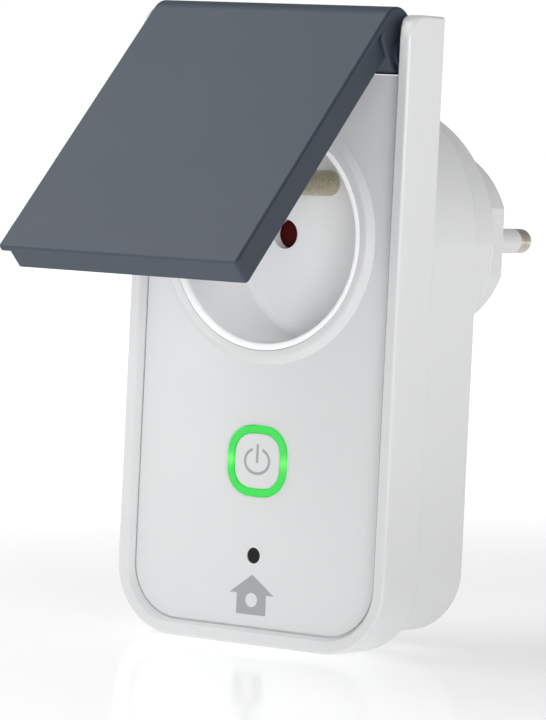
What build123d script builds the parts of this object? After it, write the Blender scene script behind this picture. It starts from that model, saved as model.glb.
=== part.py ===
from build123d import *
import os

# A wall plug adaptor with a switched, lidded socket, for outdoor use. All sizes are in millimetres.
# The origin is the centre of the plug's face, on the socket's axis. +Y runs along the plug pins into the
# wall, +Z is up, and +X is to the right for a person who faces the socket. Depths are measured back from
# the front rim. The lid is built closed and then swung open to its rest position.

# ---- driving dimensions ---------------------------------------------------------------------------------
BODY_WIDTH = 60.0
BASE_Z = -75.0            # underside of the front cover
COVER_TOP_Z = 30.2        # top edge of the front panel
EAR_TOP_Z = 41.2          # top of the two ears that hold the lid
CORNER_RADIUS = 13.0      # lower corners, seen from the front
RIM_FACE_WIDTH = 2.2      # the rim's flat front
RIM_WIDTH = 2.9           # at the foot of its sloping inner side
WALL = 2.0
PANEL_DEPTH = 1.5         # front panel, behind the rim
COVER_DEPTH = 11.4        # back edge of the front cover and of the ears
REAR_DEPTH = 28.7         # back of the rear housing
DRUM_DEPTH = 38.4         # back of the round drum behind the socket
FACE_DEPTH = 55.6         # the plug's face
REAR_STEP = 1.1           # how far the rear housing is inset from the front cover
REAR_LIFT = 1.7           # how much higher its underside lies, besides
DRUM_RADIUS = 25.9
FIT_GAP = 0.15            # between neighbouring mouldings

# CEE 7/7 plug and CEE 7/5 socket
PIN_RADIUS = 2.4
PIN_SPACING = 19.0
PIN_LENGTH = 19.0
SLEEVE_LENGTH = 14.0
SLEEVE_CORE_RADIUS = 1.9
EARTH_OFFSET = 10.0       # earth pin above the line of the contacts
PLUG_RADIUS = 18.0
PLUG_FLAT_X = 16.8        # the plug's two side flats
RECESS_RADIUS = 19.6
RECESS_FLOOR_DEPTH = 20.4
COLLAR_DEPTH = 0.5        # crest of the collar round the socket
COLLAR_RADIUS = 22.2
COLLAR_FOOT_RADIUS = 23.6
SOCKET_OPENING_RADIUS = 21.0
CONTACT_HOLE_RADIUS = 2.75
EARTH_PIN_TIP_DEPTH = 4.2

# power button, sensor and emblem, on the panel's centre line
BUTTON_Z = -41.3
LIGHT_RING_SIZE = 13.0
LIGHT_RING_WIDTH = 1.25
LIGHT_RING_CORNER = 5.0
LIGHT_RING_BULGE = 30.0   # radius of the ring's slightly bulged sides
BUTTON_GAP = 0.12
BUTTON_TRAVEL = 0.4
SENSOR_Z = -58.7
SENSOR_RADIUS = 1.48
EMBLEM_Z = -66.0

# lid, in its closed position
HINGE_DEPTH = 3.1
HINGE_Z = 34.2
HINGE_PIN_RADIUS = 1.25
HINGE_BORE_RADIUS = 1.3
LID_FACE_OFFSET = 8.25    # outer face in front of the hinge axis
LID_LENGTH = 60.3         # from the hinge axis to the free end
LID_WIDTH = 52.3
LID_LIP = 1.1             # thickness of the overhanging plate
LID_INSET = 0.9           # skirt, behind the plate's edge
LID_WALL = 1.4
LID_THICKNESS = 6.1
LID_BARREL_RADIUS = 3.85
LID_CURL_RADIUS = 4.78    # rounding at the top of the lid
LID_REST_ANGLE = 44.0     # how far the lid stands open

# boards
BOARD_THICKNESS = 1.6
MAIN_BOARD_DEPTH = 12.6
MAIN_BOARD_WIDTH = 38.0
MAIN_BOARD_LOW_Z = -69.0
MAIN_BOARD_HIGH_Z = -27.0
CONTROL_BOARD_DEPTH = 6.8
CONTROL_BOARD_THICKNESS = 1.0

# four housing screws, from behind
SCREW_PLACES = [(-23.0, -63.0), (23.0, -63.0), (-24.0, -30.0), (24.0, -30.0)]
SCREW_TIP_DEPTH = 5.5
SCREW_HEAD_DEPTH = 23.0
SCREW_HEAD_RADIUS = 2.5
SCREW_SHANK_RADIUS = 1.25
SCREW_WELL_RADIUS = 2.9
BOSS_RADIUS = 3.9

# ---- smaller sizes --------------------------------------------------------------------------------------
PLATE_DEPTH = 9.4         # front of the rear housing's plate, inside the front cover
EAR_FRONT_RADIUS = 4.6
EAR_BACK_RADIUS = 0.5
RIM_OUTER_SOFTNESS = 0.6
RIM_INNER_SOFTNESS = 0.4
RIM_GROOVE_WIDTH = 0.35   # at the foot of the rim
RIM_GROOVE_DEPTH = 0.4
COLLAR_SOFTNESS = 1.0
REAR_SOFTNESS = 2.0
DRUM_SOFTNESS = 1.2
PLUG_SOFTNESS = 0.8
PLUG_WALL = 2.2
PLUG_FACE_THICKNESS = 4.0
PIN_SEAT_LENGTH = 7.0
PIN_TIP_SOFTNESS = 2.1
FLANGE_DEPTH = 34.4       # front of the plug insert's flange, inside the drum
FLANGE_RADIUS = 21.5
EARTH_BAR_DEPTH = 33.4
EARTH_CLIP_WIDTH = 6.5
EARTH_HOLE_RADIUS = 2.6
EARTH_GROOVE_DEPTH = 1.8
EARTH_CLIP_INSET = 0.6
EARTH_CLIP_END = 1.2      # in front of the plug's face
EARTH_SPLIT = 0.8
EARTH_STEM_RADIUS = 2.0
STRIP = 0.8               # thickness of the copper strips
BUSBAR_WIDTH = 3.0
BUSBAR_LEG_Z = -20.6
BUSBAR_FOOT_Z = -30.5
BUSBAR_FOOT_RISE = 2.0    # between the board and the foot
LINE_BUSBAR_X = 5.2
LINE_BUSBAR_DEPTH = 40.6  # behind the tips of an appliance's pins, which reach 39.4
LINE_BEND_Z = -12.5
LINE_SLOT_DEPTH = 35.0    # where the line strip goes down through the plug's flange
NEUTRAL_CUP_DEPTH = 40.0  # floor of the hollow in the neutral pin's root
RECESS_BASE_DEPTH = 22.6  # underside of the recess floor
RECESS_FILLET = 1.3
RECESS_MOUTH_SOFTNESS = 0.6
SOCKET_FLANGE_DEPTH = 5.1
SOCKET_FLANGE_RADIUS = 23.5
CARRIER_DEPTH = 25.0
CARRIER_BACK_DEPTH = 33.2
CARRIER_RADIUS = 18.6
CONTACT_OUTER_RADIUS = 3.1
CONTACT_INNER_RADIUS = 2.3
CONTACT_SPLIT = 0.8
SHUTTER_CLEARANCE = 0.3
SHUTTER_POST_RADIUS = 1.5
SHUTTER_BORE_RADIUS = 1.55
SHUTTER_HUB_RADIUS = 3.0
SHUTTER_INNER_RADIUS = 6.2
SHUTTER_OUTER_RADIUS = 13.0
SHUTTER_VANE_WIDTH = 6.2
RING_FACE_DEPTH = 1.1
BUTTON_FACE_DEPTH = 1.3
BUTTON_SOFTNESS = 0.35
BUTTON_THICKNESS = 1.8
PLUNGER_DEPTH = 3.6
SWITCH_DEPTH = 4.9
PLUNGER_RADIUS = 1.1
EMBLEM_THICKNESS = 0.15
SCREW_POST_RADIUS = 2.6
SCREW_PILOT_RADIUS = 0.95
SCREW_POST_TOP_DEPTH = 9.3
SCREW_HEAD_HEIGHT = 1.8
SEAL_WIDTH = 1.4
SEAL_THICKNESS = 0.8
HINGE_PIN_HALF_LENGTH = 28.8
LID_BOSS_RADIUS = 2.6
LID_BOSS_HALF_WIDTH = 26.9
LID_CURL_RISE = 1.55      # the curl's centre, above the hinge axis
LID_PLATE = 1.5
LID_POCKET_TOP = 5.5      # below the hinge axis
LID_CORNER_RADIUS = 0.7
LID_SKIRT_CORNER = 0.7
LID_EDGE_SOFTNESS = 0.5
GASKET_OUTER = 22.2
GASKET_INNER = 20.6
GASKET_SEAT = 1.8
GASKET_SEAT_WALL = 0.9
GASKET_SQUEEZE = 0.35
BOARD_SCREW_PLACES = [(-16.3, -29.8), (16.7, -66.8)]
BOARD_SCREW_RADIUS = 0.9
BOARD_POST_RADIUS = 2.0
BOARD_SCREW_LENGTH = 4.0
BOARD_SCREW_HEAD_HEIGHT = 1.3
SCREW_CROSS_LENGTH = 3.0
SCREW_CROSS_WIDTH = 0.7
SWITCH_SIZE = 4.5
SWITCH_WELL_EXTRA = 0.6
LED_SIZE = 1.6
LED_HEIGHT = 0.8
CONTROL_BOARD_WIDTH = 24.0
CONTROL_BOARD_MARGIN = 9.0
HEADER_PINS = 6
HEADER_PITCH = 2.0
HEADER_PIN_SIZE = 0.64
HEADER_START_X = -0.5
HEADER_Z = -62.5

# parts on the boards: width, height and thickness, then the place of the middle in X and Z
RELAY = (15.0, 19.0, 10.4, -10.5, -43.0)
TRANSFORMER_CORE = (14.0, 13.0, 8.6, 7.5, -60.0)
TRANSFORMER_COIL = (10.0, 16.0, 6.4, 7.5, -60.0)
SAFETY_CAPACITOR = (13.0, 5.5, 9.0, 9.5, -38.0)
FUSE = (4.2, 8.4, 4.4, -15.5, -61.5)
FILTER_CAPACITOR_RADIUS = 4.0
FILTER_CAPACITOR_LENGTH = 12.0
FILTER_CAPACITOR_PLACE = (4.5, -47.5)
VARISTOR_RADIUS = 4.2
VARISTOR_THICKNESS = 3.2
VARISTOR_PLACE = (-4.6, -60.0)
RADIO_MODULE = (18.0, 16.0, 0.8, -8.0, -44.0)
RADIO_SHIELD = (13.0, 11.0, 2.0, -8.0, -45.5)
LIGHT_SENSOR = (2.0, 1.6, 0.9, 0.0, SENSOR_Z)

# ---- helpers --------------------------------------------------------------------------------------------


def y_at(depth):
    """Y of a place that lies depth behind the front rim."""
    return depth - FACE_DEPTH


def slab(profile, front, back):
    """A solid between two depths, whose section in X and Z is the profile."""
    return extrude(Plane.XZ.offset(-y_at(front)) * profile, amount=front - back)


def tapered_slab(front_profile, back_profile, front, back):
    """A solid between two depths, whose section changes from one profile to the other."""
    planes = [Plane.XZ.offset(-y_at(front)), Plane.XZ.offset(-y_at(back))]
    return loft([planes[0] * front_profile, planes[1] * back_profile], ruled=True)


def rod(radius, front, back, x=0, z=0):
    return slab(Pos(x, z) * Circle(radius), front, back)


def tube(outer, inner, front, back, x=0, z=0):
    return slab(Pos(x, z) * (Circle(outer) - Circle(inner)), front, back)


def block(width, height, front, back, x=0, z=0, corner=0):
    shape = RectangleRounded(width, height, corner) if corner else Rectangle(width, height)
    return slab(Pos(x, z) * shape, front, back)


def front_edges(solid):
    return solid.faces().sort_by(Axis.Y)[0].edges()


def back_edges(solid):
    return solid.faces().sort_by(Axis.Y)[-1].edges()


def housing_outline(inset, top, lift=0):
    """The case seen from the front, with round lower corners, drawn inset from its outer edge."""
    low = BASE_Z + inset + lift
    outline = Pos(0, (top + low) / 2) * Rectangle(BODY_WIDTH - 2 * inset, top - low)
    return fillet(outline.vertices().sort_by(Axis.Y)[:2], CORNER_RADIUS - inset)


def rear_outline(inset):
    """The rear housing seen from behind: the case outline below, a half round about the socket above."""
    step = REAR_STEP + inset
    return housing_outline(step, 0, REAR_LIFT) + Circle(BODY_WIDTH / 2 - step)


def plug_outline(inset):
    """The plug body seen from behind: round, with a flat on each side."""
    return Circle(PLUG_RADIUS - inset) & Rectangle(2 * (PLUG_FLAT_X - inset), 2 * PLUG_RADIUS)


# ---- case -----------------------------------------------------------------------------------------------


def ear_profile():
    """The case seen from the side: the ears are well rounded at the front of their tops."""
    height = EAR_TOP_Z - BASE_Z
    side = Pos(y_at(COVER_DEPTH / 2), BASE_Z + height / 2) * Rectangle(COVER_DEPTH, height)
    front_top = side.vertices().sort_by(Axis.Y)[-2:].sort_by(Axis.X)[0]
    side = fillet(front_top, EAR_FRONT_RADIUS)
    back_top = side.vertices().sort_by(Axis.X)[-2:].sort_by(Axis.Y)[-1]
    return fillet(back_top, EAR_BACK_RADIUS)


def soften(solid, radius, wanted):
    """Round every edge whose middle passes the test."""
    return fillet([edge for edge in solid.edges() if wanted(edge.center())], radius)


def make_collar():
    """The raised ring round the socket, with a soft crest."""
    height = PANEL_DEPTH - COLLAR_DEPTH
    collar = Pos(0, y_at(PANEL_DEPTH - height / 2), 0) * Rot(90, 0, 0) * Cone(
        COLLAR_FOOT_RADIUS, COLLAR_RADIUS, height)
    return fillet(front_edges(collar), COLLAR_SOFTNESS)


def make_front_cover():
    body = slab(housing_outline(0, EAR_TOP_Z), 0, COVER_DEPTH)
    body &= extrude(Plane.YZ.offset(-BODY_WIDTH / 2) * ear_profile(), amount=BODY_WIDTH)
    half, back = BODY_WIDTH / 2, y_at(COVER_DEPTH)
    body = soften(body, RIM_OUTER_SOFTNESS, lambda c: c.Y < back - 0.1 and (
        abs(c.X) > half - 0.01 or (c.Y < y_at(0.01) and c.Z < BASE_Z + CORNER_RADIUS)))
    above = EAR_TOP_Z + 5
    foot = housing_outline(RIM_WIDTH, above)
    body -= tapered_slab(housing_outline(RIM_FACE_WIDTH, above), foot, 0, PANEL_DEPTH)
    groove = foot - housing_outline(RIM_WIDTH + RIM_GROOVE_WIDTH, above)
    body -= slab(groove, PANEL_DEPTH, PANEL_DEPTH + RIM_GROOVE_DEPTH)
    body -= block(2 * (half - RIM_WIDTH), 20, -1, COVER_DEPTH + 1, z=COVER_TOP_Z + 10)
    inner = half - RIM_FACE_WIDTH + 0.01
    body = soften(body, RIM_INNER_SOFTNESS, lambda c: c.Y < y_at(0.01) and abs(c.X) < inner)
    body += make_collar()
    body -= slab(housing_outline(WALL, COVER_TOP_Z - WALL), PANEL_DEPTH + WALL, COVER_DEPTH)
    body -= rod(SOCKET_OPENING_RADIUS, -1, COVER_DEPTH)
    body -= slab(button_outline(-BUTTON_GAP), 0, PANEL_DEPTH + WALL)
    body -= rod(SENSOR_RADIUS, 0, PANEL_DEPTH + WALL, z=SENSOR_Z)
    body -= make_emblem()
    post_root = PANEL_DEPTH + WALL - 0.1
    for x, z in SCREW_PLACES:
        body += tube(SCREW_POST_RADIUS, SCREW_PILOT_RADIUS, post_root, PLATE_DEPTH - FIT_GAP, x, z)
    for x, z in BOARD_SCREW_PLACES:
        body += tube(BOARD_POST_RADIUS, BOARD_SCREW_RADIUS, post_root, MAIN_BOARD_DEPTH, x, z)
    return body - hinge_rod(HINGE_PIN_RADIUS)


def make_rear_housing():
    shell = slab(rear_outline(0), COVER_DEPTH, REAR_DEPTH)
    shell = fillet(back_edges(shell), REAR_SOFTNESS)
    drum = rod(DRUM_RADIUS, COVER_DEPTH, DRUM_DEPTH)
    shell += fillet(back_edges(drum), DRUM_SOFTNESS)
    plate_inset = WALL + FIT_GAP
    shell += slab(housing_outline(plate_inset, COVER_TOP_Z - plate_inset), PLATE_DEPTH, COVER_DEPTH)
    shell -= slab(rear_outline(WALL), PLATE_DEPTH - 1, REAR_DEPTH - WALL)
    shell -= rod(DRUM_RADIUS - WALL, PLATE_DEPTH, DRUM_DEPTH - WALL)
    shell -= slab(plug_outline(-FIT_GAP), DRUM_DEPTH - WALL, DRUM_DEPTH)
    for x, z in SCREW_PLACES:
        boss = rod(BOSS_RADIUS, PLATE_DEPTH, REAR_DEPTH - WALL + 0.1, x, z)
        shell += boss & slab(housing_outline(plate_inset, 0), 0, REAR_DEPTH)
    for x, z in SCREW_PLACES:
        shell -= rod(SCREW_SHANK_RADIUS + FIT_GAP, 0, REAR_DEPTH, x, z)
        shell -= rod(SCREW_WELL_RADIUS, SCREW_HEAD_DEPTH, REAR_DEPTH + 1, x, z)
    return shell


def make_housing_screws():
    screws = []
    for x, z in SCREW_PLACES:
        screw = rod(SCREW_SHANK_RADIUS, SCREW_POST_TOP_DEPTH, SCREW_HEAD_DEPTH, x, z)
        screw += rod(SCREW_PILOT_RADIUS, SCREW_TIP_DEPTH, SCREW_POST_TOP_DEPTH, x, z)
        head = rod(SCREW_HEAD_RADIUS, SCREW_HEAD_DEPTH, SCREW_HEAD_DEPTH + SCREW_HEAD_HEIGHT, x, z)
        screw += fillet(back_edges(head), 0.6)
        for angle in (0, 90):
            slot = Pos(x, z) * Rot(0, 0, angle) * Rectangle(SCREW_CROSS_LENGTH, SCREW_CROSS_WIDTH)
            screw -= slab(slot, SCREW_HEAD_DEPTH + 0.7, SCREW_HEAD_DEPTH + SCREW_HEAD_HEIGHT)
        screws.append(screw)
    return Compound(children=[screw.solid() for screw in screws])


def make_housing_seal():
    outer = housing_outline(WALL, COVER_TOP_Z - WALL)
    inner = housing_outline(WALL + SEAL_WIDTH, COVER_TOP_Z - WALL - SEAL_WIDTH)
    return slab(outer - inner, PLATE_DEPTH - SEAL_THICKNESS, PLATE_DEPTH)


# ---- plug -----------------------------------------------------------------------------------------------


def earth_groove(side):
    """The channel for one earth clip, along the top or bottom of the plug."""
    width = EARTH_CLIP_WIDTH + 2 * FIT_GAP
    return block(width, 2 * EARTH_GROOVE_DEPTH, FLANGE_DEPTH - 1, FACE_DEPTH + 1, z=side * PLUG_RADIUS)


def make_plug_insert():
    body = slab(plug_outline(0), FLANGE_DEPTH, FACE_DEPTH)
    body = fillet(back_edges(body), PLUG_SOFTNESS)
    body += rod(FLANGE_RADIUS, FLANGE_DEPTH, DRUM_DEPTH - WALL)
    body -= slab(plug_outline(PLUG_WALL), FLANGE_DEPTH, FACE_DEPTH - PLUG_FACE_THICKNESS)
    for side in (-1, 1):
        body -= earth_groove(side)
    body -= block(BUSBAR_WIDTH + 2, 16, FLANGE_DEPTH, DRUM_DEPTH - WALL, LINE_BUSBAR_X, -FLANGE_RADIUS)
    body -= rod(EARTH_HOLE_RADIUS, FACE_DEPTH - PLUG_FACE_THICKNESS, FACE_DEPTH, z=EARTH_OFFSET)
    for x in (-PIN_SPACING / 2, PIN_SPACING / 2):
        body += rod(PIN_RADIUS + 1.6, FACE_DEPTH - PIN_SEAT_LENGTH, FACE_DEPTH - 1, x)
        body -= rod(PIN_RADIUS, FACE_DEPTH - PIN_SEAT_LENGTH, FACE_DEPTH, x)
    return body


def make_plug_pin(x, root_depth):
    sleeve_end = FACE_DEPTH + SLEEVE_LENGTH
    pin = rod(SLEEVE_CORE_RADIUS, root_depth, sleeve_end, x)
    tip = rod(PIN_RADIUS, sleeve_end, FACE_DEPTH + PIN_LENGTH, x)
    return pin + fillet(back_edges(tip), PIN_TIP_SOFTNESS)


def make_neutral_pin():
    """Its root is a cup that leaves room for the tip of an appliance's pin."""
    x = -PIN_SPACING / 2
    cup = rod(CONTACT_OUTER_RADIUS, EARTH_BAR_DEPTH + STRIP, NEUTRAL_CUP_DEPTH + STRIP, x)
    cup -= rod(CONTACT_HOLE_RADIUS, EARTH_BAR_DEPTH, NEUTRAL_CUP_DEPTH, x)
    return cup + make_plug_pin(x, NEUTRAL_CUP_DEPTH)


def make_pin_sleeve(x):
    front = FACE_DEPTH - PIN_SEAT_LENGTH
    return tube(PIN_RADIUS, SLEEVE_CORE_RADIUS, front, FACE_DEPTH + SLEEVE_LENGTH, x)


def make_plug_earth_strap():
    """The two clips at the top and bottom of the plug, joined by a bar across its inside."""
    reach = PLUG_RADIUS - EARTH_CLIP_INSET
    strap = block(EARTH_CLIP_WIDTH, 2 * reach, EARTH_BAR_DEPTH, EARTH_BAR_DEPTH + STRIP)
    for side in (-1, 1):
        height = side * (reach - STRIP / 2)
        strap += block(EARTH_CLIP_WIDTH, STRIP, EARTH_BAR_DEPTH, FACE_DEPTH - EARTH_CLIP_END, z=height)
    return strap


def make_plug_earth_contact():
    """The sleeve that takes the wall socket's earth pin, split so that it grips."""
    depth = FACE_DEPTH - PLUG_FACE_THICKNESS
    outer = EARTH_HOLE_RADIUS + STRIP
    sleeve = tube(outer, EARTH_HOLE_RADIUS, EARTH_BAR_DEPTH + STRIP, depth, z=EARTH_OFFSET)
    return sleeve - block(EARTH_SPLIT, 2 * outer, EARTH_BAR_DEPTH + 6, depth, z=EARTH_OFFSET)


# ---- socket ---------------------------------------------------------------------------------------------


def make_socket_insert():
    tube_radius = SOCKET_OPENING_RADIUS - 0.1
    cup = rod(tube_radius, COLLAR_DEPTH, RECESS_BASE_DEPTH)
    cup += rod(SOCKET_FLANGE_RADIUS, SOCKET_FLANGE_DEPTH, SOCKET_FLANGE_DEPTH + 1.5)
    hollow = rod(RECESS_RADIUS, COLLAR_DEPTH - 1, RECESS_FLOOR_DEPTH)
    cup -= fillet(back_edges(hollow), RECESS_FILLET)
    mouth = [edge for edge in front_edges(cup) if edge.radius < tube_radius - 0.5]
    cup = fillet(mouth, RECESS_MOUTH_SOFTNESS)
    for x in (-PIN_SPACING / 2, PIN_SPACING / 2):
        cup -= rod(CONTACT_HOLE_RADIUS, RECESS_FLOOR_DEPTH, RECESS_BASE_DEPTH, x)
    return cup - rod(EARTH_STEM_RADIUS, RECESS_FLOOR_DEPTH, RECESS_BASE_DEPTH, z=EARTH_OFFSET)


def make_socket_earth_pin():
    """The pin stands on the recess floor by a shoulder; its thinner stem goes on to the earth bar."""
    pin = rod(PIN_RADIUS, EARTH_PIN_TIP_DEPTH, RECESS_FLOOR_DEPTH, z=EARTH_OFFSET)
    pin = fillet(front_edges(pin), PIN_TIP_SOFTNESS)
    return pin + rod(EARTH_STEM_RADIUS, RECESS_FLOOR_DEPTH, EARTH_BAR_DEPTH, z=EARTH_OFFSET)


def make_socket_seal():
    inner = SOCKET_OPENING_RADIUS + 0.1
    return tube(SOCKET_FLANGE_RADIUS - 0.3, inner, PANEL_DEPTH + WALL, SOCKET_FLANGE_DEPTH)


def make_contact_carrier():
    """The block behind the recess that holds the spring contacts; the shutter turns on its post."""
    carrier = rod(CARRIER_RADIUS, CARRIER_DEPTH, CARRIER_BACK_DEPTH)
    carrier += tube(CARRIER_RADIUS, CARRIER_RADIUS - 1.5, RECESS_BASE_DEPTH, CARRIER_DEPTH)
    carrier += rod(SHUTTER_POST_RADIUS, RECESS_BASE_DEPTH, CARRIER_DEPTH)
    for x in (-PIN_SPACING / 2, PIN_SPACING / 2):
        carrier -= rod(CONTACT_OUTER_RADIUS + 0.2, CARRIER_DEPTH, CARRIER_BACK_DEPTH, x)
    return carrier - rod(EARTH_STEM_RADIUS, CARRIER_DEPTH, CARRIER_BACK_DEPTH, z=EARTH_OFFSET)


def make_socket_contact(x):
    """A round spring contact, open at both ends and split crosswise so that it grips a plug pin."""
    contact = tube(CONTACT_OUTER_RADIUS, CONTACT_INNER_RADIUS, CARRIER_DEPTH + 0.8, EARTH_BAR_DEPTH, x)
    for angle in (0, 90):
        slot = Pos(x, 0) * Rot(0, 0, angle) * Rectangle(CONTACT_SPLIT, 8)
        contact -= slab(slot, CARRIER_DEPTH, EARTH_BAR_DEPTH - 2.5)
    return contact


def make_shutter():
    """Two vanes on a hub, one behind each contact hole; two plug pins together turn them aside."""
    front = RECESS_BASE_DEPTH + SHUTTER_CLEARANCE
    back = CARRIER_DEPTH - SHUTTER_CLEARANCE
    disc = Circle(SHUTTER_OUTER_RADIUS) - Circle(SHUTTER_INNER_RADIUS)
    band = Rectangle(2 * SHUTTER_OUTER_RADIUS + 2, SHUTTER_VANE_WIDTH)
    arm = Rectangle(2 * SHUTTER_INNER_RADIUS + 2, 2.4)
    rotor = Circle(SHUTTER_HUB_RADIUS) + (disc & band) + arm - Circle(SHUTTER_BORE_RADIUS)
    return slab(rotor, front, back)


def make_shutter_spring():
    """A flat coil round the shutter's hub, one end against the carrier."""
    middle = CARRIER_DEPTH - SHUTTER_CLEARANCE
    coil = tube(SHUTTER_HUB_RADIUS + 1.3, SHUTTER_HUB_RADIUS + 0.5, middle, CARRIER_DEPTH)
    return coil - block(1.2, 8, middle, CARRIER_DEPTH, x=0, z=-5)


# ---- front controls -------------------------------------------------------------------------------------


def button_outline(inset):
    """The light ring's outer edge, drawn inset: a square with slightly bulged sides and round corners."""
    side = Circle(LIGHT_RING_BULGE - inset)
    shift = LIGHT_RING_BULGE - LIGHT_RING_SIZE / 2
    shape = (Pos(shift, 0) * side) & (Pos(-shift, 0) * side) & (Pos(0, shift) * side) & (Pos(0, -shift) * side)
    return Pos(0, BUTTON_Z) * fillet(shape.vertices(), LIGHT_RING_CORNER - inset)


def make_light_ring():
    profile = button_outline(0) - button_outline(LIGHT_RING_WIDTH)
    return slab(profile, RING_FACE_DEPTH, CONTROL_BOARD_DEPTH - LED_HEIGHT - 0.2)


def make_power_button():
    back = BUTTON_FACE_DEPTH + BUTTON_THICKNESS
    cap = slab(button_outline(LIGHT_RING_WIDTH + BUTTON_GAP), BUTTON_FACE_DEPTH, back)
    cap = fillet(front_edges(cap), BUTTON_SOFTNESS)
    return cap + rod(PLUNGER_RADIUS + 0.3, back, PLUNGER_DEPTH, z=BUTTON_Z)


def make_switch_plunger():
    return rod(PLUNGER_RADIUS, PLUNGER_DEPTH, SWITCH_DEPTH + 0.3, z=BUTTON_Z)


def make_tact_switch():
    """A square switch with a well for its plunger."""
    switch = block(SWITCH_SIZE, SWITCH_SIZE, SWITCH_DEPTH, CONTROL_BOARD_DEPTH, z=BUTTON_Z)
    well_end = SWITCH_DEPTH + BUTTON_TRAVEL + SWITCH_WELL_EXTRA
    return switch - rod(PLUNGER_RADIUS + 0.08, SWITCH_DEPTH, well_end, z=BUTTON_Z)


def make_sensor_window():
    """A dark window, sunk a little into the panel and held by a flange behind it."""
    panel_back = PANEL_DEPTH + WALL
    window = rod(SENSOR_RADIUS, PANEL_DEPTH + 0.3, panel_back, z=SENSOR_Z)
    return window + rod(SENSOR_RADIUS + 1.0, panel_back, panel_back + 0.8, z=SENSOR_Z)


def emblem_profile():
    """A plain house sign: a roof over a square wall with a round window."""
    roof = Polyline((-5.0, 0.2), (0, 3.8), (5.0, 0.2), close=True)
    sign = make_face(roof) + Pos(0, -1.7) * Rectangle(6.6, 3.8)
    return Pos(0, EMBLEM_Z) * (sign - Pos(0, -0.9) * Circle(1.3))


def make_emblem():
    return slab(emblem_profile(), PANEL_DEPTH, PANEL_DEPTH + EMBLEM_THICKNESS)


def on_front(part, depth):
    """A block that stands on the front of a board whose front face lies at this depth."""
    width, height, thick, x, z = part
    return block(width, height, depth - thick, depth, x, z)


def make_control_board():
    height = BUTTON_Z - SENSOR_Z + 2 * CONTROL_BOARD_MARGIN
    back = CONTROL_BOARD_DEPTH + CONTROL_BOARD_THICKNESS
    middle = (BUTTON_Z + SENSOR_Z) / 2
    return block(CONTROL_BOARD_WIDTH, height, CONTROL_BOARD_DEPTH, back, z=middle, corner=1)


def make_ring_leds():
    offset = (LIGHT_RING_SIZE - LIGHT_RING_WIDTH) / 2
    leds = []
    for dx, dz in ((offset, 0), (-offset, 0), (0, offset), (0, -offset)):
        front = CONTROL_BOARD_DEPTH - LED_HEIGHT
        leds.append(block(LED_SIZE, LED_SIZE, front, CONTROL_BOARD_DEPTH, dx, BUTTON_Z + dz))
    return Compound(children=[led.solid() for led in leds])


def make_light_sensor():
    return on_front(LIGHT_SENSOR, CONTROL_BOARD_DEPTH)


# ---- lid ------------------------------------------------------------------------------------------------


def hinge_rod(radius, half_length=None):
    """A rod along X on the lid's hinge axis."""
    half = half_length or HINGE_PIN_HALF_LENGTH
    place = Plane((-half, y_at(HINGE_DEPTH), HINGE_Z), x_dir=(0, 1, 0), z_dir=(1, 0, 0))
    return extrude(place * Circle(radius), amount=2 * half)


LID_FACE_DEPTH = HINGE_DEPTH - LID_FACE_OFFSET
LID_FREE_Z = HINGE_Z - LID_LENGTH
LID_CURL_Z = HINGE_Z + LID_CURL_RISE


def lid_block(width, low, high, front, back):
    """A block between two heights, and between two depths behind the lid's outer face."""
    return block(width, high - low, LID_FACE_DEPTH + front, LID_FACE_DEPTH + back, z=(low + high) / 2)


def round_free_corners(solid, radius):
    """Round the two corners at the lid's free end."""
    return fillet(solid.edges().filter_by(Axis.Y).sort_by(Axis.Z)[:2], radius)


def lid_plate():
    """The outer plate, whose soft edge stands out over the skirt."""
    plate = lid_block(LID_WIDTH, LID_FREE_Z, LID_CURL_Z, 0, LID_LIP)
    plate = round_free_corners(plate, LID_CORNER_RADIUS)
    edges = [edge for edge in front_edges(plate) if edge.center().Z < LID_CURL_Z - 0.1]
    return fillet(edges, LID_EDGE_SOFTNESS)


def lid_curl():
    """The lid's rounded hinge end: a hull round the curl and the barrel, drawn in Y and Z."""
    curl = Pos(y_at(LID_FACE_DEPTH + LID_CURL_RADIUS), LID_CURL_Z) * Circle(LID_CURL_RADIUS)
    barrel = Pos(y_at(HINGE_DEPTH), HINGE_Z) * Circle(LID_BARREL_RADIUS)
    hull = make_hull(curl.edges() + barrel.edges())
    solid = extrude(Plane.YZ.offset(-LID_WIDTH / 2) * hull, amount=LID_WIDTH)
    ends = solid.faces().sort_by(Axis.X)
    return fillet(ends[0].edges() + ends[-1].edges(), LID_EDGE_SOFTNESS)


def gasket_seat():
    """The two low walls that hold the gasket."""
    front = LID_FACE_DEPTH + LID_PLATE - 0.2
    back = LID_FACE_DEPTH + LID_PLATE + GASKET_SEAT
    outer = tube(GASKET_OUTER + GASKET_SEAT_WALL, GASKET_OUTER, front, back)
    return outer + tube(GASKET_INNER, GASKET_INNER - GASKET_SEAT_WALL, front, back)


def make_lid_closed():
    skirt_width = LID_WIDTH - 2 * LID_INSET
    skirt_low = LID_FREE_Z + LID_INSET
    skirt = lid_block(skirt_width, skirt_low, LID_CURL_Z - 2, LID_LIP, LID_THICKNESS)
    lid = lid_plate() + round_free_corners(skirt, LID_SKIRT_CORNER) + lid_curl()
    lid -= lid_block(skirt_width - 2 * LID_WALL, skirt_low + LID_WALL, HINGE_Z - LID_POCKET_TOP,
                     LID_PLATE, LID_THICKNESS + 1)
    lid += hinge_rod(LID_BOSS_RADIUS, LID_BOSS_HALF_WIDTH)
    lid += gasket_seat()
    return lid - hinge_rod(HINGE_BORE_RADIUS, BODY_WIDTH)


def make_lid_gasket_closed():
    gasket = tube(GASKET_OUTER, GASKET_INNER, LID_FACE_DEPTH + LID_PLATE, COLLAR_DEPTH - GASKET_SQUEEZE)
    return fillet(back_edges(gasket), 0.35)


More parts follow.
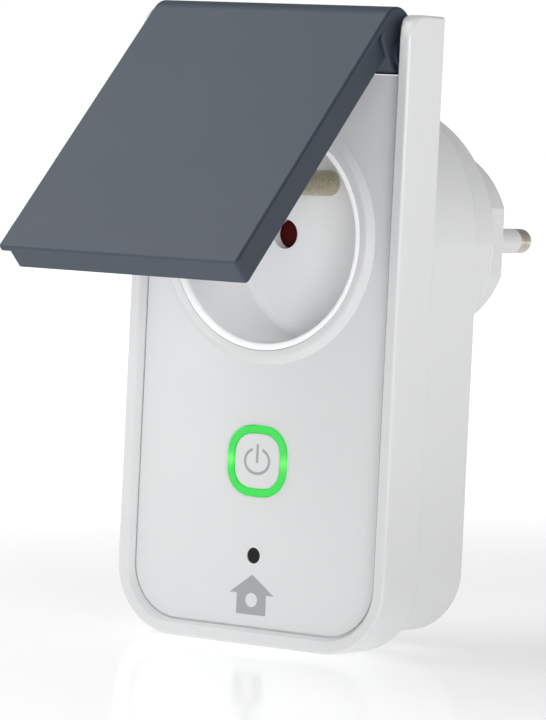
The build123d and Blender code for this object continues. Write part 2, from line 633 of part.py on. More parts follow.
def swing_open(solid):
    """Turn a closed lid piece to the rest position."""
    hinge = Axis((0, y_at(HINGE_DEPTH), HINGE_Z), (-1, 0, 0))
    return solid.rotate(hinge, LID_REST_ANGLE)


# ---- electronics ----------------------------------------------------------------------------------------


MAIN_BOARD_BACK = MAIN_BOARD_DEPTH + BOARD_THICKNESS


def on_main_board(part, softness=0):
    """A block that stands on the back of the main board, with its far edges rounded."""
    width, height, thick, x, z = part
    solid = block(width, height, MAIN_BOARD_BACK, MAIN_BOARD_BACK + thick, x, z)
    return fillet(back_edges(solid), softness) if softness else solid


def lying_can(radius, length, x, z, gap, softness):
    """A round part that lies along X, a gap above the back of the main board."""
    axis_y = y_at(MAIN_BOARD_BACK + gap + radius)
    place = Plane((x, axis_y, z), x_dir=(0, 1, 0), z_dir=(1, 0, 0))
    can = extrude(place * Circle(radius), amount=length)
    return fillet(can.edges(), softness)


def make_main_board():
    height = MAIN_BOARD_HIGH_Z - MAIN_BOARD_LOW_Z
    middle = (MAIN_BOARD_HIGH_Z + MAIN_BOARD_LOW_Z) / 2
    board = block(MAIN_BOARD_WIDTH, height, MAIN_BOARD_DEPTH, MAIN_BOARD_BACK, z=middle, corner=1)
    for x, z in BOARD_SCREW_PLACES:
        board -= rod(BOARD_SCREW_RADIUS, MAIN_BOARD_DEPTH, MAIN_BOARD_BACK, x, z)
    return board


def make_relay():
    return on_main_board(RELAY, 0.5)


def make_transformer():
    return on_main_board(TRANSFORMER_CORE) + on_main_board(TRANSFORMER_COIL)


def make_filter_capacitor():
    """An electrolytic can."""
    x, z = FILTER_CAPACITOR_PLACE
    return lying_can(FILTER_CAPACITOR_RADIUS, FILTER_CAPACITOR_LENGTH, x, z, 0, 0.6)


def make_safety_capacitor():
    return on_main_board(SAFETY_CAPACITOR, 0.6)


def make_varistor():
    """A disc that stands on edge."""
    x, z = VARISTOR_PLACE
    return lying_can(VARISTOR_RADIUS, VARISTOR_THICKNESS, x, z, 0.4, 0.8)


def make_fuse():
    return on_main_board(FUSE, 1.0)


def make_radio_module():
    return on_front(RADIO_MODULE, MAIN_BOARD_DEPTH)


def make_radio_shield():
    can = on_front(RADIO_SHIELD, MAIN_BOARD_DEPTH - RADIO_MODULE[2])
    return fillet(front_edges(can), 0.3)


def make_board_header():
    """The row of pins between the control board and the main board."""
    pins = []
    front = CONTROL_BOARD_DEPTH + CONTROL_BOARD_THICKNESS
    for step in range(HEADER_PINS):
        x = HEADER_START_X + step * HEADER_PITCH
        pins.append(block(HEADER_PIN_SIZE, HEADER_PIN_SIZE, front, MAIN_BOARD_DEPTH, x, HEADER_Z))
    return Compound(children=[pin.solid() for pin in pins])


def make_board_screws():
    screws = []
    for x, z in BOARD_SCREW_PLACES:
        screw = rod(BOARD_SCREW_RADIUS, MAIN_BOARD_DEPTH - BOARD_SCREW_LENGTH, MAIN_BOARD_BACK, x, z)
        head = rod(2 * BOARD_SCREW_RADIUS, MAIN_BOARD_BACK, MAIN_BOARD_BACK + BOARD_SCREW_HEAD_HEIGHT, x, z)
        screws.append(screw + fillet(back_edges(head), 0.4))
    return Compound(children=[screw.solid() for screw in screws])


def busbar(outline, depth, foot_x, leg_z):
    """A copper strip: a flat part behind the contacts, a leg forward and a foot on the main board."""
    foot = MAIN_BOARD_BACK + BUSBAR_FOOT_RISE
    foot_height = leg_z - BUSBAR_FOOT_Z
    middle = leg_z - foot_height / 2 + STRIP / 2
    strip = slab(outline, depth, depth + STRIP)
    strip += block(BUSBAR_WIDTH, STRIP, foot, depth + STRIP, foot_x, leg_z)
    strip += block(BUSBAR_WIDTH, foot_height, foot, foot + STRIP, foot_x, middle)
    return strip + block(BUSBAR_WIDTH, STRIP, MAIN_BOARD_BACK, foot + STRIP, foot_x, BUSBAR_FOOT_Z + STRIP)


def straight_outline(x, low_z):
    """A strip with a round head about the axis of a contact or a pin."""
    low = low_z - STRIP / 2
    return Pos(x, low / 2) * Rectangle(BUSBAR_WIDTH, -low) + Pos(x, 0) * Circle(CONTACT_OUTER_RADIUS)


def make_straight_busbar(x):
    """From the back of a socket contact down to the board, with a hole for the tip of an appliance's pin."""
    outline = straight_outline(x, BUSBAR_LEG_Z) - Pos(x, 0) * Circle(CONTACT_INNER_RADIUS + 0.2)
    return busbar(outline, EARTH_BAR_DEPTH, x, BUSBAR_LEG_Z)


def make_line_busbar():
    """From the line pin across and down, forward to the slot in the plug's flange, then down to the board."""
    leg_z = BUSBAR_LEG_Z - 1.0
    pin_x = PIN_SPACING / 2
    middle = Pos((LINE_BUSBAR_X + pin_x) / 2, 0)
    head = Pos(pin_x, 0) * Circle(CONTACT_OUTER_RADIUS) + middle * Rectangle(pin_x - LINE_BUSBAR_X, BUSBAR_WIDTH)
    upper_height = BUSBAR_WIDTH / 2 - LINE_BEND_Z + STRIP / 2
    upper = Pos(LINE_BUSBAR_X, BUSBAR_WIDTH / 2 - upper_height / 2) * Rectangle(BUSBAR_WIDTH, upper_height)
    strip = slab(head + upper, LINE_BUSBAR_DEPTH, LINE_BUSBAR_DEPTH + STRIP)
    back = LINE_BUSBAR_DEPTH + STRIP
    strip += block(BUSBAR_WIDTH, STRIP, LINE_SLOT_DEPTH, back, LINE_BUSBAR_X, LINE_BEND_Z)
    lower_height = LINE_BEND_Z - leg_z + STRIP
    lower = Pos(LINE_BUSBAR_X, (LINE_BEND_Z + leg_z) / 2) * Rectangle(BUSBAR_WIDTH, lower_height)
    return strip + busbar(lower, LINE_SLOT_DEPTH, LINE_BUSBAR_X, leg_z)


# ---- all nodes ------------------------------------------------------------------------------------------

HALF_SPACING = PIN_SPACING / 2

NODES = {
    "front_cover": make_front_cover(),
    "rear_housing": make_rear_housing(),
    "housing_screws": make_housing_screws(),
    "housing_seal": make_housing_seal(),
    "plug_insert": make_plug_insert(),
    "line_pin": make_plug_pin(HALF_SPACING, LINE_BUSBAR_DEPTH + STRIP),
    "neutral_pin": make_neutral_pin(),
    "line_pin_sleeve": make_pin_sleeve(HALF_SPACING),
    "neutral_pin_sleeve": make_pin_sleeve(-HALF_SPACING),
    "plug_earth_strap": make_plug_earth_strap(),
    "plug_earth_contact": make_plug_earth_contact(),
    "socket_insert": make_socket_insert(),
    "socket_earth_pin": make_socket_earth_pin(),
    "socket_seal": make_socket_seal(),
    "contact_carrier": make_contact_carrier(),
    "line_contact": make_socket_contact(HALF_SPACING),
    "neutral_contact": make_socket_contact(-HALF_SPACING),
    "shutter": make_shutter(),
    "shutter_spring": make_shutter_spring(),
    "light_ring": make_light_ring(),
    "power_button": make_power_button(),
    "switch_plunger": make_switch_plunger(),
    "tact_switch": make_tact_switch(),
    "sensor_window": make_sensor_window(),
    "emblem": make_emblem(),
    "control_board": make_control_board(),
    "ring_leds": make_ring_leds(),
    "light_sensor": make_light_sensor(),
    "lid": swing_open(make_lid_closed()),
    "lid_gasket": swing_open(make_lid_gasket_closed()),
    "hinge_pin": hinge_rod(HINGE_PIN_RADIUS),
    "main_board": make_main_board(),
    "relay": make_relay(),
    "transformer": make_transformer(),
    "filter_capacitor": make_filter_capacitor(),
    "safety_capacitor": make_safety_capacitor(),
    "varistor": make_varistor(),
    "fuse": make_fuse(),
    "radio_module": make_radio_module(),
    "radio_shield": make_radio_shield(),
    "board_header": make_board_header(),
    "board_screws": make_board_screws(),
    "line_busbar": make_line_busbar(),
    "switched_busbar": make_straight_busbar(HALF_SPACING),
    "neutral_busbar": make_straight_busbar(-HALF_SPACING),
}

os.makedirs("parts", exist_ok=True)
for name, shape in NODES.items():
    export_step(shape, f"parts/{name}.step")
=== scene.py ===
import math

import bmesh
import bpy
from mathutils import Matrix, Vector


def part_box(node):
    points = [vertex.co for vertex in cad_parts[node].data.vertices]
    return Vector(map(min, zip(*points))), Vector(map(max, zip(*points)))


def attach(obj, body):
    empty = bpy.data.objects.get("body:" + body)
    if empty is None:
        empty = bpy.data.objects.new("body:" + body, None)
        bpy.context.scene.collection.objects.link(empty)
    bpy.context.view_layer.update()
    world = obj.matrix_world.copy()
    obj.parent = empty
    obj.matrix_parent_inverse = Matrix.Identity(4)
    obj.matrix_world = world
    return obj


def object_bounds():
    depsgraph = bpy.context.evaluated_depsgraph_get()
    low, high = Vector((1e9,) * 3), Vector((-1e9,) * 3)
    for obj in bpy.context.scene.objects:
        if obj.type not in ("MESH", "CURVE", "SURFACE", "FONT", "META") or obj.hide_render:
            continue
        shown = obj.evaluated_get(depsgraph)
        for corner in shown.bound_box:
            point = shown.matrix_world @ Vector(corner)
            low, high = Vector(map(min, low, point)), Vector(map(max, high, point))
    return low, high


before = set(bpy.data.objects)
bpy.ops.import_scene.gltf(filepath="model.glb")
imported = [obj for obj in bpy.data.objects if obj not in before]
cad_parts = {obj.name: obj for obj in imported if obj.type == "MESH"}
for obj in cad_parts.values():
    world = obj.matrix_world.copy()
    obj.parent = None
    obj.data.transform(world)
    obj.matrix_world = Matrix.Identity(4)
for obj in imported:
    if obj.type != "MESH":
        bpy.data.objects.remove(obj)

MM = 0.001

# ---- places and sizes, from the frame -------------------------------------------------------------------
CAD_LOW, CAD_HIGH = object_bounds()
BUTTON_LOW, BUTTON_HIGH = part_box("power_button")
BUTTON_CENTRE = (BUTTON_LOW + BUTTON_HIGH) / 2
RIM_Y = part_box("front_cover")[0].y
FLOOR_Z = CAD_LOW.z

# camera: a long lens, turned a little about its own line of sight; angles in degrees
CAMERA_AZIMUTH = 35.19
CAMERA_ELEVATION = 3.05
CAMERA_ROLL = 2.71
CAMERA_DISTANCE = 0.8208
CAMERA_LENS = 225.0
CAMERA_SENSOR = 36.0
CAMERA_TARGET = Vector((3.41 * MM, RIM_Y, -22.45 * MM))

# power sign on the button: half sizes of its open ring, half width of its lines, and its bar from the centre
SIGN_HALF_WIDTH = 2.7 * MM
SIGN_HALF_HEIGHT = 2.3 * MM
SIGN_LINE = 0.27 * MM
SIGN_HEIGHT = 0.03 * MM
SIGN_SINK = 0.01 * MM
SIGN_GAP_ANGLE = 24
SIGN_STEPS = 72
SIGN_BAR_LOW = -0.3 * MM
SIGN_BAR_HIGH = 3.1 * MM

# lamps behind the light ring's two sides, in millimetres: how far up and down each lights the ring, and
# from where to where across the ring its light sets in
LAMP_REACH = 2.6
LAMP_SIDE = (4.5, 5.5)

# lights, each as the brightness it gives a white card that faces it
KEY_LEVEL = 0.54
FRONT_LEVEL = 0.32
RECESS_LEVEL = 0.50
LID_LEVEL = 0.16

# sky, from its brightness low down to that above; the heights are the sine of the elevation
SKY_HORIZON = 0.60
SKY_TOP = 0.10
SKY_FADE = (0.05, 0.85)
BACKDROP = 1.02

# floor, which glows a little more away from the object: the dimmer glow near it, centred to its right, is a
# painted shadow
FLOOR_HALF_WIDTH = 6.0
FLOOR_GLOW_IN_PAINTED_SHADE = 0.31
FLOOR_GLOW_FAR = 0.72
PAINTED_SHADE_CENTRE = Vector((0.10, 0.05, 0))
PAINTED_SHADE_FADE = (0.12, 0.50)


# ---- materials ------------------------------------------------------------------------------------------


class Finish:
    """A Principled material, and the pattern nodes that vary it. Patterns are laid out in millimetres."""

    def __init__(self, name, roughness, metallic=0.0, **sockets):
        self.material = bpy.data.materials.new(name)
        self.material.use_nodes = True
        self.tree = self.material.node_tree
        self.shader = self.tree.nodes["Principled BSDF"]
        self.shader.inputs["Roughness"].default_value = roughness
        self.shader.inputs["Metallic"].default_value = metallic
        for socket, value in sockets.items():
            self.shader.inputs[socket.replace("_", " ")].default_value = value
        coordinates = self.node("ShaderNodeTexCoord")
        scale = self.node("ShaderNodeMapping")
        scale.inputs["Scale"].default_value = (1 / MM,) * 3
        self.link(coordinates.outputs["Object"], scale.inputs["Vector"])
        self.place = scale.outputs["Vector"]

    def node(self, kind):
        return self.tree.nodes.new(kind)

    def link(self, output, target):
        self.tree.links.new(output, target)

    def stretched(self, stretch):
        """The place in millimetres, squeezed along its axes."""
        mapping = self.node("ShaderNodeMapping")
        mapping.inputs["Scale"].default_value = stretch
        self.link(self.place, mapping.inputs["Vector"])
        return mapping.outputs["Vector"]

    def noise(self, size, detail=3.0, stretch=None):
        """Noise from 0 to 1 whose patches are about size millimetres across."""
        noise = self.node("ShaderNodeTexNoise")
        noise.inputs["Scale"].default_value = 1 / size
        noise.inputs["Detail"].default_value = detail
        self.link(self.stretched(stretch) if stretch else self.place, noise.inputs["Vector"])
        return noise.outputs["Fac"]

    def spots(self, size, share):
        """1 in small round spots, 0 between them; share is how much of each cell a spot takes."""
        soft_edge = 0.1
        cells = self.node("ShaderNodeTexVoronoi")
        cells.inputs["Scale"].default_value = 1 / size
        self.link(self.place, cells.inputs["Vector"])
        return self.spread(cells.outputs["Distance"], share, share - soft_edge, 0.0, 1.0)

    def spread(self, value, from_low, from_high, to_low, to_high):
        """The value moved from one range to another, and held inside it."""
        change = self.node("ShaderNodeMapRange")
        change.inputs["From Min"].default_value = from_low
        change.inputs["From Max"].default_value = from_high
        change.inputs["To Min"].default_value = to_low
        change.inputs["To Max"].default_value = to_high
        self.link(value, change.inputs["Value"])
        return change.outputs["Result"]

    def combine(self, operation, first, second=0.0):
        maths = self.node("ShaderNodeMath")
        maths.operation = operation
        for value, socket in zip((first, second), maths.inputs):
            if isinstance(value, (int, float)):
                socket.default_value = value
            else:
                self.link(value, socket)
        return maths.outputs["Value"]

    def blend(self, share, first, second):
        """A colour between two others; share is the second one's part."""
        mix = self.node("ShaderNodeMix")
        mix.data_type = "RGBA"
        self.link(share, mix.inputs["Factor"])
        for colour, socket in zip((first, second), (mix.inputs[6], mix.inputs[7])):
            if isinstance(colour, tuple):
                socket.default_value = (*colour, 1.0)
            else:
                self.link(colour, socket)
        return mix.outputs[2]

    def colour(self, value):
        if isinstance(value, tuple):
            self.shader.inputs["Base Color"].default_value = (*value, 1.0)
        else:
            self.link(value, self.shader.inputs["Base Color"])

    def rough(self, value):
        self.link(value, self.shader.inputs["Roughness"])

    def bump(self, *layers):
        """Layers of (height, depth in millimetres)."""
        normal = None
        for height, depth in layers:
            bump = self.node("ShaderNodeBump")
            bump.inputs["Strength"].default_value = 1.0
            bump.inputs["Distance"].default_value = depth * MM
            self.link(height, bump.inputs["Height"])
            if normal is not None:
                self.link(normal, bump.inputs["Normal"])
            normal = bump.outputs["Normal"]
        self.link(normal, self.shader.inputs["Normal"])


def grey(value):
    return (value, value, value)


def glossy_plastic(name, colour, tint, roughness=0.22, gloss=0.5):
    """Smooth moulded plastic: faint cloudiness, a soft change of gloss, and a very fine grain."""
    finish = Finish(name, roughness, Specular_IOR_Level=gloss)
    finish.colour(finish.blend(finish.noise(18, 2), colour, tint))
    finish.rough(finish.spread(finish.noise(12, 1), 0.0, 1.0, roughness - 0.05, roughness + 0.07))
    finish.bump((finish.noise(7, 1), 0.004), (finish.noise(0.22, 2), 0.0008))
    return finish.material


def sparked_plastic(name, colour, light, roughness):
    """Plastic from a spark-eroded mould: a fine even grain that catches the light."""
    finish = Finish(name, roughness)
    grain = finish.noise(0.16, 3)
    cloud = finish.noise(14, 3)
    speckled = finish.blend(finish.spread(grain, 0.3, 0.7, 0.0, 0.8), colour, light)
    finish.colour(finish.blend(finish.spread(cloud, 0.0, 1.0, 0.1, 0.3), colour, speckled))
    finish.rough(finish.spread(cloud, 0.0, 1.0, roughness - 0.03, roughness + 0.03))
    finish.bump((grain, 0.02))
    return finish.material


def rubber(name, colour):
    """Soft rubber with a little dust on it."""
    finish = Finish(name, 0.7)
    dust = finish.spread(finish.noise(1.8, 5), 0.45, 0.8, 0.0, 0.35)
    finish.colour(finish.blend(dust, colour, grey(0.12)))
    finish.rough(finish.spread(finish.noise(3, 3), 0.3, 0.7, 0.6, 0.8))
    finish.bump((finish.noise(0.3, 3), 0.01))
    return finish.material


def turned_metal(name, colour, stain, roughness=0.24):
    """Plated metal turned on a lathe: fine rings along Y, and scratches along it from use."""
    finish = Finish(name, roughness, metallic=1.0)
    rings = finish.noise(0.12, 2, (0.02, 1.0, 0.02))
    rubs = finish.noise(0.5, 4, (1.0, 0.08, 1.0))
    finish.colour(finish.blend(finish.spread(finish.noise(1.6, 5), 0.45, 0.75, 0.0, 1.0), colour, stain))
    finish.rough(finish.spread(rubs, 0.3, 0.7, roughness - 0.08, roughness + 0.14))
    finish.bump((rings, 0.004), (rubs, 0.003))
    return finish.material


def worn_plating(name):
    """Nickel worn through to brass, with small dark pits."""
    finish = Finish(name, 0.34, metallic=1.0)
    wear = finish.spread(finish.noise(0.35, 6), 0.42, 0.6, 0.0, 1.0)
    pits = finish.spots(0.4, 0.2)
    worn = finish.blend(wear, (0.66, 0.62, 0.50), (0.50, 0.44, 0.27))
    finish.colour(finish.blend(pits, worn, (0.20, 0.16, 0.11)))
    finish.rough(finish.spread(finish.noise(0.3, 5), 0.3, 0.7, 0.28, 0.5))
    finish.bump((wear, 0.008), (pits, -0.01), (finish.noise(0.2, 3), 0.004))
    return finish.material


def plated_steel(name, colour):
    """Zinc-plated steel, a little cloudy."""
    finish = Finish(name, 0.3, metallic=1.0)
    finish.colour(finish.blend(finish.noise(1.2, 4), colour, grey(0.4)))
    finish.rough(finish.spread(finish.noise(0.3, 3), 0.3, 0.7, 0.22, 0.42))
    finish.bump((finish.noise(0.15, 2), 0.003))
    return finish.material


def lit_ring(name):
    """A translucent light guide: brightest beside the two lamps at its left and right."""
    finish = Finish(name, 0.3)
    finish.colour(finish.blend(finish.noise(0.8, 3), (0.02, 0.22, 0.04), (0.03, 0.30, 0.06)))
    split = finish.node("ShaderNodeSeparateXYZ")
    finish.link(finish.place, split.inputs["Vector"])
    height = finish.combine("SUBTRACT", split.outputs["Z"], BUTTON_CENTRE.z / MM)
    lamp = finish.spread(finish.combine("ABSOLUTE", height), 0.0, LAMP_REACH, 1.0, 0.0)
    side = finish.spread(finish.combine("ABSOLUTE", split.outputs["X"]), *LAMP_SIDE, 0.0, 1.0)
    glow = finish.combine("MULTIPLY", lamp, side)
    glow = finish.combine("MULTIPLY", glow, glow)
    cloud = finish.spread(finish.noise(1.2, 3), 0.3, 0.7, 0.0, 0.12)
    light = finish.blend(finish.combine("ADD", glow, cloud), (0.012, 0.60, 0.05), (0.20, 1.0, 0.17))
    finish.link(light, finish.shader.inputs["Emission Color"])
    finish.shader.inputs["Emission Strength"].default_value = 0.8
    finish.bump((finish.noise(0.4, 2), 0.003))
    return finish.material


def dark_window(name):
    """Dark tinted plastic with a few paler specks."""
    finish = Finish(name, 0.12, Specular_IOR_Level=0.2)
    finish.colour(finish.blend(finish.spots(0.35, 0.22), (0.006, 0.006, 0.007), grey(0.06)))
    finish.rough(finish.spread(finish.noise(0.6, 3), 0.3, 0.7, 0.08, 0.25))
    finish.bump((finish.noise(0.5, 2), 0.004))
    return finish.material


def print_ink(name, colour):
    """Pad-printed ink, a little uneven."""
    finish = Finish(name, 0.45)
    finish.colour(finish.blend(finish.noise(0.3, 4), colour, tuple(0.93 * part for part in colour)))
    finish.rough(finish.spread(finish.noise(0.8, 3), 0.3, 0.7, 0.38, 0.52))
    finish.bump((finish.noise(0.12, 2), 0.001))
    return finish.material


def circuit_board(name):
    """Green solder mask over a grid of tracks."""
    finish = Finish(name, 0.3)
    tracks = finish.node("ShaderNodeTexBrick")
    tracks.inputs["Scale"].default_value = 0.35
    tracks.inputs["Mortar Size"].default_value = 0.06
    finish.link(finish.place, tracks.inputs["Vector"])
    ground = finish.blend(finish.noise(4, 3), (0.01, 0.12, 0.03), (0.02, 0.18, 0.05))
    finish.colour(finish.blend(tracks.outputs["Fac"], ground, (0.04, 0.26, 0.08)))
    finish.rough(finish.spread(finish.noise(1, 3), 0.3, 0.7, 0.25, 0.4))
    finish.bump((tracks.outputs["Fac"], 0.02))
    return finish.material


def matt_part(name, colour, roughness=0.5):
    """A plain moulded or dipped part, such as a component's body."""
    finish = Finish(name, roughness)
    finish.colour(finish.blend(finish.noise(1.5, 4), colour, tuple(0.8 * part for part in colour)))
    finish.rough(finish.spread(finish.noise(0.9, 3), 0.3, 0.7, roughness - 0.08, roughness + 0.1))
    finish.bump((finish.noise(0.3, 2), 0.006))
    return finish.material


def make_finishes():
    """One material for each of the record's slots."""
    return {
        "white_shell": glossy_plastic("white_shell", (0.79, 0.795, 0.80), (0.76, 0.765, 0.775)),
        "white_button": glossy_plastic("white_button", (0.80, 0.805, 0.81), (0.77, 0.775, 0.785), 0.3),
        "white_sleeve": glossy_plastic("white_sleeve", (0.78, 0.78, 0.79), (0.75, 0.75, 0.76), 0.35),
        "slate_lid": sparked_plastic("slate_lid", (0.045, 0.062, 0.088), (0.069, 0.090, 0.122), 0.5),
        "black_rubber": rubber("black_rubber", grey(0.02)),
        "nickel": turned_metal("nickel", (0.66, 0.62, 0.55), (0.5, 0.45, 0.37)),
        "earth_nickel": worn_plating("earth_nickel"),
        "steel": plated_steel("steel", (0.56, 0.56, 0.55)),
        "red_shutter": glossy_plastic("red_shutter", (0.10, 0.001, 0.003), (0.07, 0.001, 0.002), 0.55, 0.15),
        "carrier_plastic": matt_part("carrier_plastic", (0.05, 0.05, 0.055)),
        "brass_contact": turned_metal("brass_contact", (0.72, 0.55, 0.25), (0.55, 0.4, 0.16), 0.35),
        "copper_strip": turned_metal("copper_strip", (0.80, 0.42, 0.28), (0.6, 0.3, 0.18), 0.35),
        "green_light": lit_ring("green_light"),
        "dark_window": dark_window("dark_window"),
        "grey_print": print_ink("grey_print", (0.41, 0.42, 0.43)),
        "board_green": circuit_board("board_green"),
        "black_component": matt_part("black_component", grey(0.02)),
        "led_lens": matt_part("led_lens", (0.75, 0.72, 0.5), 0.25),
        "transformer_core": matt_part("transformer_core", (0.09, 0.085, 0.08), 0.6),
        "capacitor_sleeve": matt_part("capacitor_sleeve", (0.01, 0.03, 0.09), 0.3),
        "yellow_component": matt_part("yellow_component", (0.75, 0.5, 0.05), 0.4),
        "blue_component": matt_part("blue_component", (0.03, 0.12, 0.5), 0.35),
        "fuse_ceramic": matt_part("fuse_ceramic", (0.55, 0.5, 0.42), 0.6),
    }


def finish_nodes(finishes):
    """Every CAD node takes the finish of its own slot."""
    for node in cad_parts.values():
        for place in node.material_slots:
            slot = place.material.name.split(".")[0]
            place.material = finishes[slot]


# ---- pieces ---------------------------------------------------------------------------------------------


def new_piece(name, mesh, material, body):
    piece = bpy.data.objects.new(name, mesh)
    bpy.context.scene.collection.objects.link(piece)
    mesh.materials.append(material)
    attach(piece, body)
    return piece


def sweep_line(mesh, points, half_width, low, high):
    """A flat raised line in the plane of X and Z through the points, from depth low to depth high."""
    rows = []
    for index, point in enumerate(points):
        before = points[max(index - 1, 0)]
        after = points[min(index + 1, len(points) - 1)]
        along = (after - before).normalized()
        side = Vector((along.z, 0, -along.x)) * half_width
        soft = side * 0.8
        corners = [point - side, point - soft, point + soft, point + side]
        heights = [low, high, high, low]
        rows.append([mesh.verts.new((corner.x, y, corner.z)) for corner, y in zip(corners, heights)])
    for first, second in zip(rows, rows[1:]):
        for i in range(3):
            mesh.faces.new((first[i], first[i + 1], second[i + 1], second[i]))
        mesh.faces.new((first[3], first[0], second[0], second[3]))
    mesh.faces.new(rows[0][::-1])
    mesh.faces.new(rows[-1])


def make_power_sign(finishes):
    """The standby sign printed on the button: an open ring and a bar."""
    mesh = bmesh.new()
    centre = Vector((0, 0, BUTTON_CENTRE.z))
    low = BUTTON_LOW.y + SIGN_SINK
    high = BUTTON_LOW.y - SIGN_HEIGHT
    start = math.radians(90 + SIGN_GAP_ANGLE)
    turn = math.radians(360 - 2 * SIGN_GAP_ANGLE)
    ring = []
    for step in range(SIGN_STEPS + 1):
        angle = start + turn * step / SIGN_STEPS
        across = SIGN_HALF_WIDTH * math.cos(angle)
        rise = SIGN_HALF_HEIGHT * math.sin(angle)
        ring.append(centre + Vector((across, 0, rise)))
    sweep_line(mesh, ring, SIGN_LINE, low, high)
    bar = [centre + Vector((0, 0, SIGN_BAR_LOW)), centre + Vector((0, 0, SIGN_BAR_HIGH))]
    sweep_line(mesh, bar, SIGN_LINE, low, high)
    bmesh.ops.recalc_face_normals(mesh, faces=mesh.faces)
    data = bpy.data.meshes.new("power_sign")
    mesh.to_mesh(data)
    mesh.free()
    new_piece("power_sign", data, finishes["grey_print"], "power_button")


# ---- studio ---------------------------------------------------------------------------------------------


def direction(azimuth, elevation):
    """The way out from the object at these angles in degrees; azimuth 0 is straight in front of it."""
    turn = math.radians(azimuth)
    rise = math.radians(elevation)
    return Vector((math.sin(turn) * math.cos(rise), -math.cos(turn) * math.cos(rise), math.sin(rise)))


def place_camera():
    azimuth = math.radians(CAMERA_AZIMUTH)
    roll = math.radians(CAMERA_ROLL)
    back = direction(CAMERA_AZIMUTH, CAMERA_ELEVATION)
    right = Vector((math.cos(azimuth), math.sin(azimuth), 0))
    up = back.cross(right)
    turned_right = math.cos(roll) * right + math.sin(roll) * up
    turned_up = math.cos(roll) * up - math.sin(roll) * right
    data = bpy.data.cameras.new("camera")
    data.lens = CAMERA_LENS
    data.sensor_width = CAMERA_SENSOR
    data.clip_start = 0.05
    data.clip_end = 20
    camera = bpy.data.objects.new("camera", data)
    bpy.context.scene.collection.objects.link(camera)
    turn = Matrix((turned_right, turned_up, back)).transposed().to_4x4()
    camera.matrix_world = Matrix.Translation(CAMERA_TARGET + back * CAMERA_DISTANCE) @ turn
    bpy.context.scene.camera = camera


def area_light(name, azimuth, elevation, distance, size, level):
    """A soft light aimed at the object's middle from distance metres away."""
    aim = (CAD_LOW + CAD_HIGH) / 2
    back = direction(azimuth, elevation)
    data = bpy.data.lights.new(name, "AREA")
    data.shape = "RECTANGLE"
    data.size, data.size_y = size
    data.energy = level * (math.pi * distance) ** 2
    light = bpy.data.objects.new(name, data)
    bpy.context.scene.collection.objects.link(light)
    light.location = aim + back * distance
    light.rotation_mode = "QUATERNION"
    light.rotation_quaternion = back.to_track_quat("Z", "Y")
    return light


def link_light(light, names, state="INCLUDE"):
    """Keeps a light to the nodes with these names, or away from them with the state EXCLUDE."""
    linked = bpy.data.collections.new(light.name)
    for name in names:
        linked.objects.link(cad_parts[name])
    for entry in linked.collection_objects:
        entry.light_linking.link_state = state
    light.light_linking.receiver_collection = linked


def light_world():
    """A pale backdrop for the camera; for the object, a sky that is bright low down and dark above."""
    world = bpy.data.worlds.new("studio")
    bpy.context.scene.world = world
    world.use_nodes = True
    tree = world.node_tree
    place = tree.nodes.new("ShaderNodeTexCoord")
    split = tree.nodes.new("ShaderNodeSeparateXYZ")
    sky = tree.nodes.new("ShaderNodeMapRange")
    sky.inputs["From Min"].default_value = SKY_FADE[0]
    sky.inputs["From Max"].default_value = SKY_FADE[1]
    sky.inputs["To Min"].default_value = SKY_HORIZON
    sky.inputs["To Max"].default_value = SKY_TOP
    path = tree.nodes.new("ShaderNodeLightPath")
    level = tree.nodes.new("ShaderNodeMix")
    level.inputs["B"].default_value = BACKDROP
    background = tree.nodes["Background"]
    background.inputs["Color"].default_value = (1, 1, 1, 1)
    tree.links.new(place.outputs["Generated"], split.inputs["Vector"])
    tree.links.new(split.outputs["Z"], sky.inputs["Value"])
    tree.links.new(path.outputs["Is Camera Ray"], level.inputs["Factor"])
    tree.links.new(sky.outputs["Result"], level.inputs["A"])
    tree.links.new(level.outputs["Result"], background.inputs["Strength"])


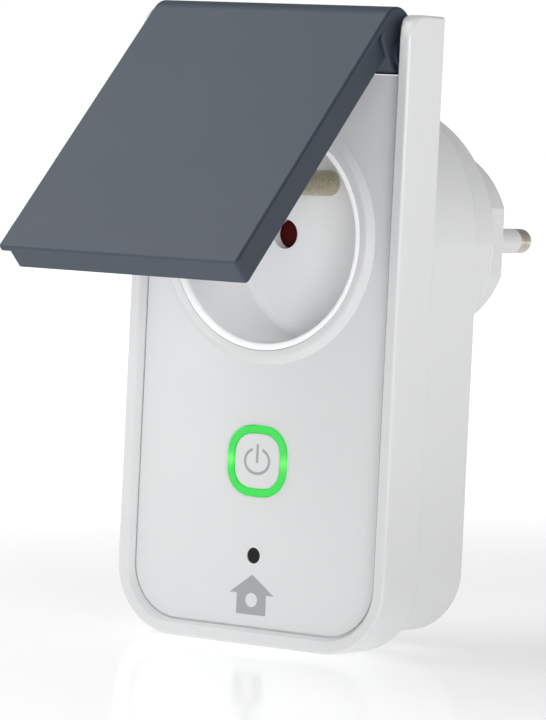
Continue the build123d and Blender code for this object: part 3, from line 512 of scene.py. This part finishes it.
def light_studio():
    area_light("key", azimuth=-56, elevation=48, distance=1.0, size=(0.85, 0.65), level=KEY_LEVEL)
    front = area_light("front", azimuth=59, elevation=9, distance=0.85, size=(0.4, 0.22), level=FRONT_LEVEL)
    link_light(front, ["lid"], "EXCLUDE")
    recess = area_light("recess", azimuth=38, elevation=4, distance=0.85, size=(0.3, 0.2), level=RECESS_LEVEL)
    link_light(recess, ["socket_insert", "socket_earth_pin"])
    lid = area_light("lid_top", azimuth=-15, elevation=45, distance=0.85, size=(0.3, 0.3), level=LID_LEVEL)
    link_light(lid, ["lid"])
    light_world()


def floor_finish():
    """White with a faint gloss, and a glow that grows outward, so that the dimmer glow around the object
    paints its shadow on the floor.
    """
    material = bpy.data.materials.new("floor")
    material.use_nodes = True
    tree = material.node_tree
    shader = tree.nodes["Principled BSDF"]
    shader.inputs["Base Color"].default_value = (0.95, 0.95, 0.95, 1)
    shader.inputs["Roughness"].default_value = 0.12
    shader.inputs["Specular IOR Level"].default_value = 0.15
    shader.inputs["Emission Color"].default_value = (1, 1, 1, 1)
    place = tree.nodes.new("ShaderNodeTexCoord")
    reach = tree.nodes.new("ShaderNodeVectorMath")
    reach.operation = "DISTANCE"
    reach.inputs[1].default_value = PAINTED_SHADE_CENTRE
    # painted shade: the glow is weakest near the object and to its right, which paints a shadow on the floor
    # there
    glow = tree.nodes.new("ShaderNodeMapRange")
    glow.interpolation_type = "SMOOTHSTEP"
    glow.inputs["From Min"].default_value = PAINTED_SHADE_FADE[0]
    glow.inputs["From Max"].default_value = PAINTED_SHADE_FADE[1]
    glow.inputs["To Min"].default_value = FLOOR_GLOW_IN_PAINTED_SHADE
    glow.inputs["To Max"].default_value = FLOOR_GLOW_FAR
    tree.links.new(place.outputs["Object"], reach.inputs[0])
    tree.links.new(reach.outputs["Value"], glow.inputs["Value"])
    tree.links.new(glow.outputs["Result"], shader.inputs["Emission Strength"])
    return material


def lay_floor():
    mesh = bmesh.new()
    bmesh.ops.create_grid(mesh, x_segments=8, y_segments=8, size=FLOOR_HALF_WIDTH)
    data = bpy.data.meshes.new("floor")
    mesh.to_mesh(data)
    mesh.free()
    data.materials.append(floor_finish())
    floor = bpy.data.objects.new("floor", data)
    bpy.context.scene.collection.objects.link(floor)
    floor.location = (0, 0, FLOOR_Z)


FINISHES = make_finishes()
finish_nodes(FINISHES)
make_power_sign(FINISHES)
place_camera()
light_studio()
lay_floor()
bpy.context.scene.view_settings.view_transform = "Standard"
